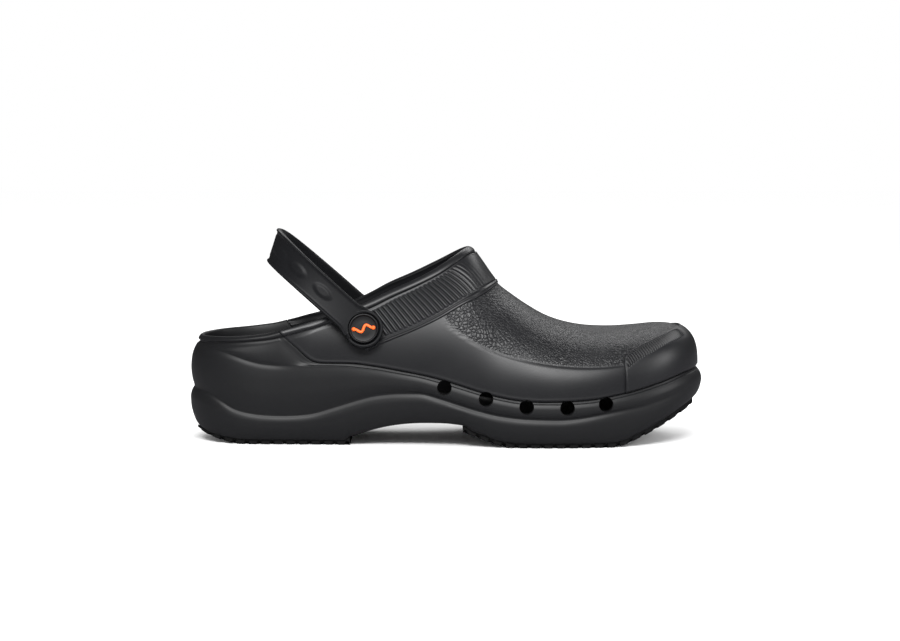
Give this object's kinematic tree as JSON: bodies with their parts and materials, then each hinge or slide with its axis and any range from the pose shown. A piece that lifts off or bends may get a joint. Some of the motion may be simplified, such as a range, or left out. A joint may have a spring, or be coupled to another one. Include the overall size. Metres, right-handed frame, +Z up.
{
  "type": "chef clog",
  "caption": "Closed-toe moulded work clog, right foot: hollow foam upper with ribbed collar, foam sole unit with side vents, rubber treads and a heel strap on two rivets.",
  "frame": {"origin": "on the floor under the middle of the shoe's bounding box", "axes": "+X from heel to toe, +Y to the medial side, +Z up"},
  "size_m": [0.2898, 0.1068, 0.1186],
  "materials": {
    "upper_foam": "satin moulded foam, grained on top",
    "sole_foam": "satin moulded foam",
    "footbed": "fine knit",
    "tread_rubber": "matt",
    "strap_foam": "satin moulded foam",
    "rivet_plastic": "semi-gloss"
  },
  "bodies": {
    "root": {"upper": "upper_foam", "midsole": "sole_foam", "insole": "footbed", "outsole_heel": "tread_rubber", "outsole_forefoot": "tread_rubber", "heel_strap": "strap_foam", "rivet_lateral": "rivet_plastic", "rivet_medial": "rivet_plastic"}
  },
  "joints": []
}
